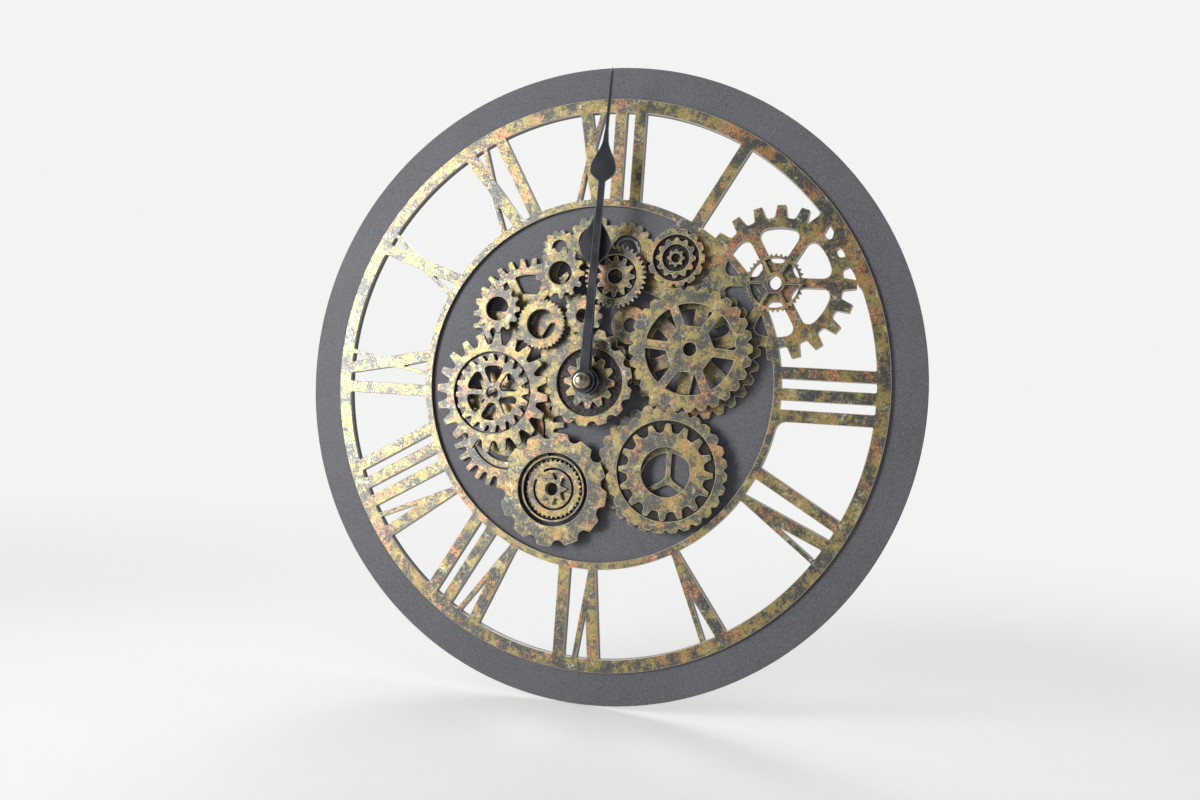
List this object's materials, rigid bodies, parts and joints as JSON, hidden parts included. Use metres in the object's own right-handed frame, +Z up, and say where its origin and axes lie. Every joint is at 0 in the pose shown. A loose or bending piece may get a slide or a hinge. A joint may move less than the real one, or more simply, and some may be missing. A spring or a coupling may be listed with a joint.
{
  "type": "wall clock",
  "caption": "Round skeleton wall clock of layered cut acrylic: open roman dial, raised ornamental gears, spade hands and a quartz movement behind.",
  "frame": {"origin": "on the axis of the hands, in the wall plane, where the movement's rear cover lies against the wall", "axes": "+Z up, front facing -Y, +Y into the wall, +X to the right seen from the front"},
  "size_m": [0.33, 0.0476, 0.33],
  "materials": {
    "charcoal_acrylic": "fine matt grain",
    "antique_gold": "antique gold film with dark speckle and rust spots",
    "black_acrylic": "cut edge, gloss",
    "satin_black": "satin black paint",
    "dark_metal": "darkened steel",
    "pewter": "worn pewter",
    "case_plastic": "moulded black",
    "train_plastic": "moulded natural",
    "brass": "turned",
    "copper_wire": "enamelled winding",
    "steel": "stamped",
    "rubber": "matt",
    "board": "lacquered board",
    "battery_jacket": "plain jacket"
  },
  "bodies": {
    "clock": {"base_plate": "charcoal_acrylic", "centre_back_gear": "antique_gold", "centre_pinion": "antique_gold", "centre_ring_gear": "antique_gold", "centre_spacer": "black_acrylic", "circuit_board": "board", "coil": "copper_wire", "dial_overlay": "antique_gold", "dial_washer": "dark_metal", "fine_tooth_gear": "antique_gold", "fine_tooth_spacer": "black_acrylic", "hanger": "case_plastic", "hex_nut": "dark_metal", "left_gear_spacer": "black_acrylic", "left_ring_gear": "antique_gold", "left_spoked_gear": "antique_gold", "lower_flush_gear": "antique_gold", "lower_gear_spacer": "black_acrylic", "lower_ring_gear": "antique_gold", "lower_slotted_gear": "antique_gold", "lower_star_pinion": "antique_gold", "lower_thin_ring": "antique_gold", "movement_case": "case_plastic", "negative_contact": "steel", "positive_contact": "steel", "rear_cover": "case_plastic", "right_gear_spacer": "black_acrylic", "right_inner_gear": "antique_gold", "right_ring_gear": "antique_gold", "rubber_washer": "rubber", "small_pinion": "antique_gold", "spoked_gear_spacer": "black_acrylic", "spoked_plate_gear": "antique_gold", "spoked_wheel": "antique_gold", "stator": "steel", "top_gear_spacer": "black_acrylic", "top_inner_gear": "antique_gold", "top_right_disc": "black_acrylic", "top_right_middle_ring": "antique_gold", "top_right_ring": "antique_gold", "top_right_star": "antique_gold", "top_ring_gear": "antique_gold", "upper_flush_gear": "antique_gold", "upper_left_pinion": "antique_gold", "upper_left_spacer": "black_acrylic", "upper_pinion": "antique_gold", "upper_spacer": "black_acrylic"},
    "minute_hand_body": {"minute_arbor": "brass", "minute_hand": "satin_black", "cap_nut": "pewter"},
    "hour_hand_body": {"hour_wheel": "train_plastic", "hour_hand": "satin_black"},
    "motion_wheel_body": {"motion_wheel": "train_plastic"},
    "setting_knob_body": {"setting_knob": "train_plastic"},
    "rotor_body": {"rotor": "dark_metal"},
    "intermediate_wheel_body": {"intermediate_wheel": "train_plastic"},
    "second_wheel_body": {"second_wheel": "train_plastic"},
    "third_wheel_body": {"third_wheel": "train_plastic"},
    "centre_wheel_body": {"centre_wheel": "train_plastic"},
    "battery_body": {"battery": "battery_jacket"}
  },
  "joints": [
    {"name": "minute_hand_turn", "type": "hinge", "parent": "clock", "child": "minute_hand_body", "pos_m": [0, 0, 0], "axis": [0, 1, 0], "continuous": true},
    {"name": "hour_hand_turn", "type": "hinge", "parent": "clock", "child": "hour_hand_body", "pos_m": [0, 0, 0], "axis": [0, 1, 0], "continuous": true},
    {"name": "motion_wheel_turn", "type": "hinge", "parent": "clock", "child": "motion_wheel_body", "pos_m": [-0.01039, 0, -0.006], "axis": [0, 1, 0], "continuous": true},
    {"name": "setting_knob_turn", "type": "hinge", "parent": "clock", "child": "setting_knob_body", "pos_m": [-0.00805, 0, -0.01929], "axis": [0, 1, 0], "continuous": true},
    {"name": "rotor_turn", "type": "hinge", "parent": "clock", "child": "rotor_body", "pos_m": [0.00801, 0, -0.01891], "axis": [0, 1, 0], "continuous": true},
    {"name": "intermediate_wheel_turn", "type": "hinge", "parent": "clock", "child": "intermediate_wheel_body", "pos_m": [0.00801, 0, -0.01171], "axis": [0, 1, 0], "continuous": true},
    {"name": "second_wheel_turn", "type": "hinge", "parent": "clock", "child": "second_wheel_body", "pos_m": [0.0159, 0, -0.00883], "axis": [0, 1, 0], "continuous": true},
    {"name": "third_wheel_turn", "type": "hinge", "parent": "clock", "child": "third_wheel_body", "pos_m": [0.0108, 0, 0], "axis": [0, 1, 0], "continuous": true},
    {"name": "centre_wheel_turn", "type": "hinge", "parent": "clock", "child": "centre_wheel_body", "pos_m": [0, 0, 0], "axis": [0, 1, 0], "continuous": true},
    {"name": "battery_release", "type": "slide", "parent": "clock", "child": "battery_body", "axis": [0, 1, 0], "range_m": [0, 0.02]}
  ],
  "couplings": [
    {"joint": "motion_wheel_turn", "follows": "minute_hand_turn", "ratio": -0.33333},
    {"joint": "hour_hand_turn", "follows": "minute_hand_turn", "ratio": 0.083333},
    {"joint": "setting_knob_turn", "follows": "minute_hand_turn", "ratio": 0.66667},
    {"joint": "intermediate_wheel_turn", "follows": "rotor_turn", "ratio": -0.2},
    {"joint": "second_wheel_turn", "follows": "rotor_turn", "ratio": 0.033333},
    {"joint": "third_wheel_turn", "follows": "rotor_turn", "ratio": -0.0044444},
    {"joint": "centre_wheel_turn", "follows": "rotor_turn", "ratio": 0.00055556}
  ]
}
